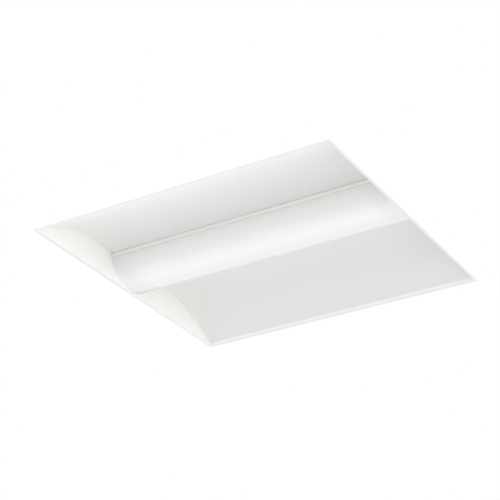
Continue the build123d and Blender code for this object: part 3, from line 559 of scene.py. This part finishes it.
# Joins the parts of one shape and sets it at every place, as real meshes. Each copy is turned about
# its axis by up to the given angle, at random.
def endTree(tree, given, parts, turn):
    whole = addNode(tree, "GeometryNodeJoinGeometry", None, {"Geometry": parts})
    tilted = addNode(
        tree, "GeometryNodeTransform", None, {"Geometry": whole.outputs[0], "Rotation": given["Tilt"]}
    )
    angle = addNode(
        tree, "FunctionNodeRandomValue", {2: -turn, 3: turn}, {"Seed": given["Seed"]}, data_type="FLOAT"
    )
    about = addNode(tree, "ShaderNodeCombineXYZ", None, {"Z": angle.outputs[1]})
    copies = addNode(
        tree, "GeometryNodeInstanceOnPoints", None,
        {"Points": given["Places"], "Instance": tilted.outputs[0], "Rotation": about.outputs[0]},
    )
    meshes = addNode(tree, "GeometryNodeRealizeInstances", None, {"Geometry": copies.outputs[0]})
    painted = addNode(
        tree, "GeometryNodeSetMaterial", None, {"Geometry": meshes.outputs[0], "Material": given["Finish"]}
    )
    addNode(tree, "NodeGroupOutput", None, {"Result": painted.outputs[0]})
    return tree


# Fineness of the round parts: points round each, and the steps and rings of a dome
rounds = {
    "head": 40, "headSteps": 2, "headRings": 8, "shank": 28, "dimple": 24, "window": 32, "helixTurn": 20,
    "ridge": 4,
}


# Dome that stands on the height 0: a drum whose top sinks towards its rim
def dome(tree, radius, height, fall, middle, power):
    drum = addNode(
        tree, "GeometryNodeMeshCylinder",
        {
            "Vertices": rounds["head"], "Side Segments": rounds["headSteps"],
            "Fill Segments": rounds["headRings"],
        },
        {"Radius": radius, "Depth": height}, fill_type="TRIANGLE_FAN",
    )
    point = addNode(tree, "GeometryNodeInputPosition")
    axes = addNode(tree, "ShaderNodeSeparateXYZ", None, {0: point.outputs[0]})
    flat = addNode(tree, "ShaderNodeCombineXYZ", None, {"X": axes.outputs["X"], "Y": axes.outputs["Y"]})
    out = addNode(tree, "ShaderNodeVectorMath", None, {0: flat.outputs[0]}, operation="LENGTH")
    across = addNode(tree, "ShaderNodeMath", None, {0: out.outputs["Value"], 1: radius}, operation="DIVIDE")
    curve = addNode(tree, "ShaderNodeMath", {1: power}, {0: across.outputs[0]}, operation="POWER")
    rise = addNode(tree, "ShaderNodeMath", None, {0: axes.outputs["Z"], 1: height}, operation="DIVIDE")
    upper = addNode(tree, "ShaderNodeMath", {1: 0.5}, {0: rise.outputs[0]}, operation="ADD")
    bend = addNode(
        tree, "ShaderNodeMath", None, {0: curve.outputs[0], 1: upper.outputs[0]}, operation="MULTIPLY"
    )
    sink = addNode(tree, "ShaderNodeMath", None, {0: bend.outputs[0], 1: fall}, operation="MULTIPLY")
    down = addNode(tree, "ShaderNodeCombineXYZ", None, {"Z": sink.outputs[0]})
    bent = addNode(
        tree, "GeometryNodeSetPosition", None, {"Geometry": drum.outputs[0], "Offset": down.outputs[0]}
    )
    return addNode(
        tree, "GeometryNodeTransform", None, {"Geometry": bent.outputs[0], "Translation": middle}
    ).outputs[0]


# Round bar from the height 0 down
def bar(tree, radius, length, middle):
    solid = addNode(
        tree, "GeometryNodeMeshCylinder", {"Vertices": rounds["shank"]}, {"Radius": radius, "Depth": length}
    )
    return addNode(
        tree, "GeometryNodeTransform", None, {"Geometry": solid.outputs[0], "Translation": middle}
    ).outputs[0]


# Inputs that the screws' and the rivets' trees share
fastenerSizes = {
    "Head Radius": "Float", "Head Height": "Float", "Head Fall": "Float", "Head Middle": "Vector",
    "Head Top": "Vector", "Shank Radius": "Float", "Shank Length": "Float", "Shank Middle": "Vector",
}
# Shares of a fastener's own sizes
fastener = {
    "headFall": 0.50,        # of the head's height, from its middle to its rim
    "domePower": 6.0,        # how late the dome falls
    "driveReach": 0.62,      # of the head's radius, each way from the middle
    "driveWidth": 0.24,      # of the head's radius
    "driveDepth": 0.50,      # of the head's height
    "threadRoot": 0.80,      # of the shank's radius
    "threadRidge": 0.20,
    "threadPitch": 0.65,
    "threadSpan": 0.90,      # of the shank's length
    "dimpleRadius": 0.34,    # of a rivet's head
    "dimpleDepth": 0.30,
}


# Pan head screw: domed head with a cross recess, shank with a rolled thread
def screwTree():
    tree, given = startTree("screwsOnPlaces", {
        **fastenerSizes, "Recess Long": "Vector", "Recess Across": "Vector", "Ridge Radius": "Float",
        "Thread Turns": "Float", "Thread Start": "Vector",
    })
    head = dome(
        tree, given["Head Radius"], given["Head Height"], given["Head Fall"], given["Head Middle"],
        fastener["domePower"],
    )
    recess = []
    for way in ("Recess Long", "Recess Across"):
        block = addNode(tree, "GeometryNodeMeshCube", None, {"Size": given[way]})
        raised = addNode(
            tree, "GeometryNodeTransform", None,
            {"Geometry": block.outputs[0], "Translation": given["Head Top"]},
        )
        recess.append(raised.outputs[0])
    driven = addNode(
        tree, "GeometryNodeMeshBoolean", None, {"Mesh 1": head, "Mesh 2": recess}, operation="DIFFERENCE",
        solver="EXACT",
    )
    helix = addNode(
        tree, "GeometryNodeCurveSpiral", {"Resolution": rounds["helixTurn"]},
        {
            "Rotations": given["Thread Turns"], "Start Radius": given["Shank Radius"],
            "End Radius": given["Shank Radius"], "Height": given["Shank Length"],
        },
    )
    ridge = addNode(
        tree, "GeometryNodeCurvePrimitiveCircle", {"Resolution": rounds["ridge"]},
        {"Radius": given["Ridge Radius"]},
    )
    rolled = addNode(
        tree, "GeometryNodeCurveToMesh", {"Fill Caps": True},
        {"Curve": helix.outputs[0], "Profile Curve": ridge.outputs[0]},
    )
    thread = addNode(
        tree, "GeometryNodeTransform", {"Scale": (1.0, 1.0, fastener["threadSpan"])},
        {"Geometry": rolled.outputs[0], "Translation": given["Thread Start"]},
    )
    root = bar(tree, given["Shank Radius"], given["Shank Length"], given["Shank Middle"])
    return endTree(tree, given, [driven.outputs[0], root, thread.outputs[0]], math.pi)


# Rivet: a domed head with the mandrel's dimple over the grip, and a plain dome under it
def rivetTree():
    tree, given = startTree("rivetsOnPlaces", {
        **fastenerSizes, "Dimple Radius": "Float", "Dimple Depth": "Float", "Foot": "Vector",
    })
    head = dome(
        tree, given["Head Radius"], given["Head Height"], given["Head Fall"], given["Head Middle"],
        fastener["domePower"],
    )
    drill = addNode(
        tree, "GeometryNodeMeshCylinder", {"Vertices": rounds["dimple"]},
        {"Radius": given["Dimple Radius"], "Depth": given["Dimple Depth"]},
    )
    raised = addNode(
        tree, "GeometryNodeTransform", None, {"Geometry": drill.outputs[0], "Translation": given["Head Top"]}
    )
    dimpled = addNode(
        tree, "GeometryNodeMeshBoolean", None, {"Mesh 1": head, "Mesh 2": raised.outputs[0]},
        operation="DIFFERENCE", solver="EXACT",
    )
    under = addNode(
        tree, "GeometryNodeTransform", {"Rotation": (math.pi, 0, 0)},
        {"Geometry": head, "Translation": given["Foot"]},
    )
    shank = bar(tree, given["Shank Radius"], given["Shank Length"], given["Shank Middle"])
    return endTree(tree, given, [dimpled.outputs[0], under.outputs[0], shank], math.pi)


# Surface mounted LED: a moulded frame round a window sunk in its lower face, with the phosphor domed
# in it. Shares of the LED's width and height.
ledShape = {"windowRadius": 0.41, "sunk": 0.30, "domeFall": 0.50, "beadFit": (0.98, 0.98, 0.9)}


def ledTree():
    tree, given = startTree("ledsOnPlaces", {
        "Size": "Vector", "Window Radius": "Float", "Window Depth": "Float", "Face": "Vector",
        "Bead Height": "Float", "Bead Fall": "Float", "Bead Middle": "Vector", "Floor": "Vector",
    })
    block = addNode(tree, "GeometryNodeMeshCube", None, {"Size": given["Size"]})
    window = addNode(
        tree, "GeometryNodeMeshCylinder", {"Vertices": rounds["window"]},
        {"Radius": given["Window Radius"], "Depth": given["Window Depth"]},
    )
    lowered = addNode(
        tree, "GeometryNodeTransform", None, {"Geometry": window.outputs[0], "Translation": given["Face"]}
    )
    bead = dome(
        tree, given["Window Radius"], given["Bead Height"], given["Bead Fall"], given["Bead Middle"],
        fastener["domePower"],
    )
    hung = addNode(
        tree, "GeometryNodeTransform", {"Rotation": (math.pi, 0, 0), "Scale": ledShape["beadFit"]},
        {"Geometry": bead, "Translation": given["Floor"]},
    )
    framed = addNode(
        tree, "GeometryNodeMeshBoolean", None, {"Mesh 1": block.outputs[0], "Mesh 2": lowered.outputs[0]},
        operation="DIFFERENCE", solver="EXACT",
    )
    return endTree(tree, given, [framed.outputs[0], hung.outputs[0]], 0.0)


# Puts a tree's shapes on the given places and keeps them as a plain mesh for one CAD node
def grown(name, nodeName, tree, places, sizes, seed):
    points = bpy.data.meshes.new(name)
    points.from_pydata(places, [], [])
    holder = bpy.data.objects.new(name, points)
    bpy.context.scene.collection.objects.link(holder)
    growth = holder.modifiers.new("growth", "NODES")
    growth.node_group = tree
    given = {**sizes, "Seed": seed, "Finish": materials[slotOf[nodeName]]}
    for socket in tree.interface.items_tree:
        if socket.in_out == "INPUT" and socket.name in given:
            growth[socket.identifier] = given[socket.name]
    mesh = flattened(name, holder)
    mesh.set_sharp_from_angle(angle=cornerAngle)
    return settle(name, mesh, [nodeName])


# Radii and head heights in millimetres; up is 1 with the head up and -1 with it down. Places and
# shank lengths come from the frame.
screws = {
    "trayScrews": {"node": "tray_screws", "up": 1, "head": 3.5, "headHeight": 2.0, "shank": 1.75},
    "endPlateScrews": {"node": "end_plate_screws", "up": 1, "head": 3.5, "headHeight": 2.0, "shank": 1.75},
    "reflectorScrews": {"node": "reflector_screws", "up": 1, "head": 2.8, "headHeight": 1.6, "shank": 1.5},
    "ledBoardScrews": {"node": "led_board_screws", "up": -1, "head": 2.8, "headHeight": 1.6, "shank": 1.5},
    "driverScrews": {"node": "driver_screws", "up": -1, "head": 2.8, "headHeight": 1.6, "shank": 1.5},
    "lensScrews": {"node": "lens_screws", "up": 1, "head": 2.0, "headHeight": 1.4, "shank": 1.0},
    "groundScrew": {"node": "ground_screw", "up": -1, "head": 2.4, "headHeight": 1.6, "shank": 1.5},
}
rivets = {
    "catchRivets": {"node": "catch_rivets", "up": -1, "head": 2.8, "headHeight": 1.0, "shank": 1.5},
    "hingeLeafRivets": {"node": "hinge_leaf_rivets", "up": 1, "head": 2.8, "headHeight": 1.0, "shank": 1.5},
    "clipRivets": {"node": "clip_rivets", "up": 1, "head": 4.0, "headHeight": 1.4, "shank": 2.0},
}


# Values for the inputs of a tree. A rivet has a head at each end of its shank and a screw has one.
def fastenerInputs(piece, box, isScrew):
    radius, height, shank = [piece[size] * millimetre for size in ("head", "headHeight", "shank")]
    low, high = box
    length = high.z - low.z - height * (1 if isScrew else 2)
    inputs = {
        "Head Radius": radius, "Head Height": height, "Head Fall": -fastener["headFall"] * height,
        "Head Middle": (0.0, 0.0, height / 2), "Head Top": (0.0, 0.0, height),
        "Shank Radius": shank, "Shank Length": length, "Shank Middle": (0.0, 0.0, -length / 2),
        "Tilt": (0.0 if piece["up"] > 0 else math.pi, 0.0, 0.0),
    }
    if isScrew:
        reach = 2 * fastener["driveReach"] * radius
        width = fastener["driveWidth"] * radius
        depth = 2 * fastener["driveDepth"] * height
        root = fastener["threadRoot"] * shank
        inputs.update({
            "Shank Radius": root, "Ridge Radius": fastener["threadRidge"] * shank,
            "Recess Long": (reach, width, depth), "Recess Across": (width, reach, depth),
            "Thread Turns": length / (fastener["threadPitch"] * shank),
            "Thread Start": (0.0, 0.0, -length * (1 + fastener["threadSpan"]) / 2),
        })
    else:
        inputs.update({
            "Dimple Radius": fastener["dimpleRadius"] * radius,
            "Dimple Depth": 2 * fastener["dimpleDepth"] * height, "Foot": (0.0, 0.0, -length),
        })
    return inputs


# Sets a family's tree on the seats of the heads in one CAD node
def fasten(name, piece, tree, isScrew, seed):
    boxes = solidBoxes(piece["node"])
    seats = []
    for low, high in boxes:
        seat = (low + high) / 2
        headEnd = high.z if piece["up"] > 0 else low.z
        seat.z = headEnd - piece["up"] * piece["headHeight"] * millimetre
        seats.append(seat)
    return grown(name, piece["node"], tree, seats, fastenerInputs(piece, boxes[-1], isScrew), seed)


for family, tree in ((screws, screwTree()), (rivets, rivetTree())):
    for seed, (name, piece) in enumerate(family.items()):
        fasten(name, piece, tree, family is screws, seed)

ledRows = {"ledsNear": "leds_near", "ledsFar": "leds_far"}
ledNodes = ledTree()
for name, nodeName in ledRows.items():
    boxes = solidBoxes(nodeName)
    length, width, height = boxes[0][1] - boxes[0][0]
    sunk = ledShape["sunk"] * height
    sizes = {
        "Size": (length, width, height), "Window Radius": ledShape["windowRadius"] * width,
        "Window Depth": 2 * sunk, "Face": (0.0, 0.0, -height / 2),
        "Bead Height": sunk, "Bead Fall": -ledShape["domeFall"] * sunk,
        "Bead Middle": (0.0, 0.0, sunk / 2), "Floor": (0.0, 0.0, sunk - height / 2),
    }
    grown(name, nodeName, ledNodes, [(low + high) / 2 for low, high in boxes], sizes, 0)
print("screws, rivets and LEDs grown:", len(screws) + len(rivets) + len(ledRows), "pieces")

# The other CAD nodes keep their shapes and take their finishes
for nodeName, node in frame["nodes"].items():
    if not node.hide_render:
        node.data.materials.clear()
        node.data.materials.append(materials[slotOf[nodeName]])
print("finishes laid on")
